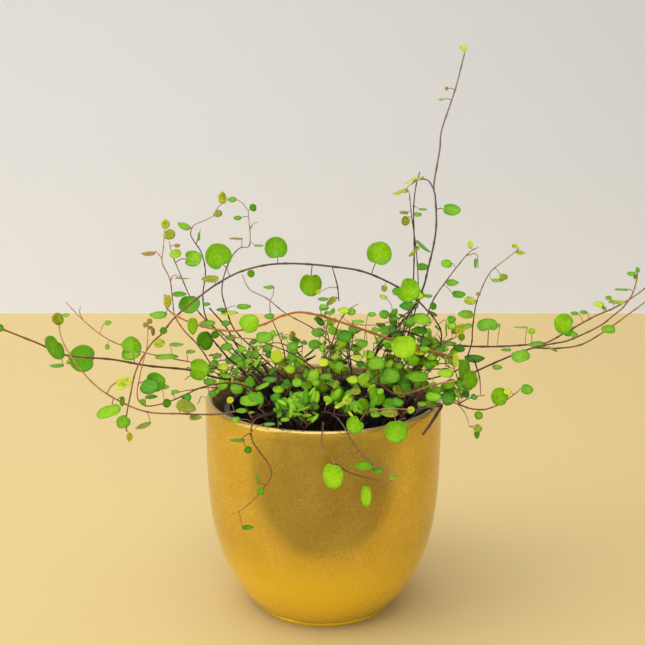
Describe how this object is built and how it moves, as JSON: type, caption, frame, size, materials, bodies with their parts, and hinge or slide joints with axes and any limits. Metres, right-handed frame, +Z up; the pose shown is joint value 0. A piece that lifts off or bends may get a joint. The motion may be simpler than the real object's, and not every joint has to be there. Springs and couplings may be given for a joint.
{
  "type": "potted angel vine",
  "caption": "Trailing wire vine with small round leaves on thin stems, growing in a nursery pot inside a gold glazed cover pot.",
  "frame": {"origin": "centre of the pot's foot ring, on the surface that the pot stands on", "axes": "+Z up, -Y towards the front, +X to the right, along the longest runners"},
  "size_m": [0.3839, 0.2064, 0.3282],
  "materials": {
    "gold_glaze": "metallic gold lustre glaze, satin, fine orange-peel speckle, pale worn lip",
    "black_plastic": "black polypropylene, thin, thermoformed, slight sheen",
    "soil": "dark peat potting mix, loose and crumbly",
    "woody_stem": "old wiry stem, dark red-brown bark with paler nodes",
    "young_stem": "young stem, smooth, reddish brown turning tan at the tip",
    "leaf": "fresh bright green leaf, satin, faint veins, young leaves yellow-green"
  },
  "bodies": {
    "root": {"cover_pot": "gold_glaze", "nursery_pot": "black_plastic", "potting_soil": "soil", "back_arch": "young_stem", "back_left_hanger": "woody_stem", "back_left_runner": "young_stem", "back_middle_hanger": "woody_stem", "back_right_hanger": "woody_stem", "crossing_twig": "young_stem", "cut_stem": "woody_stem", "front_left_hanger": "young_stem", "front_right_hanger": "young_stem", "front_right_hanger_leaf_1": "leaf", "front_rim_shoot": "young_stem", "front_rim_shoot_leaf_1": "leaf", "front_rim_shoot_leaf_2": "leaf", "high_arch": "woody_stem", "high_arch_leaf_1": "leaf", "high_arch_leaf_2": "leaf", "high_arch_leaf_3": "leaf", "high_arch_leaf_4": "leaf", "high_arch_leaf_5": "leaf", "inner_curl": "young_stem", "left_long_runner": "woody_stem", "left_long_runner_leaf_1": "leaf", "left_long_runner_leaf_2": "leaf", "left_long_runner_leaf_3": "leaf", "left_long_runner_leaf_4": "leaf", "left_looping_runner": "young_stem", "left_looping_runner_leaf_1": "leaf", "left_sweeping_runner": "woody_stem", "left_sweeping_runner_leaf_1": "leaf", "left_sweeping_runner_leaf_2": "leaf", "left_thin_runner": "young_stem", "left_upright_fourth": "young_stem", "left_upright_outer": "young_stem", "left_upright_second": "young_stem", "left_upright_second_leaf_1": "leaf", "left_upright_second_leaf_2": "leaf", "left_upright_third": "young_stem", "low_arch": "woody_stem", "low_arch_leaf_1": "leaf", "low_arch_leaf_2": "leaf", "low_arch_leaf_3": "leaf", "lower_right_runner": "woody_stem", "lower_right_runner_leaf_1": "leaf", "middle_runner": "young_stem", "paired_upright_left": "young_stem", "paired_upright_right": "young_stem", "right_far_upright": "young_stem", "right_front_drooper": "young_stem", "right_front_runner": "woody_stem", "right_front_runner_leaf_1": "leaf", "right_near_upright": "young_stem", "tall_leader": "woody_stem", "tall_leader_leaf_1": "leaf", "thin_inner_upright": "young_stem", "upper_right_runner": "woody_stem", "upper_right_runner_leaf_1": "leaf", "upper_right_runner_leaf_2": "leaf"}
  },
  "joints": []
}
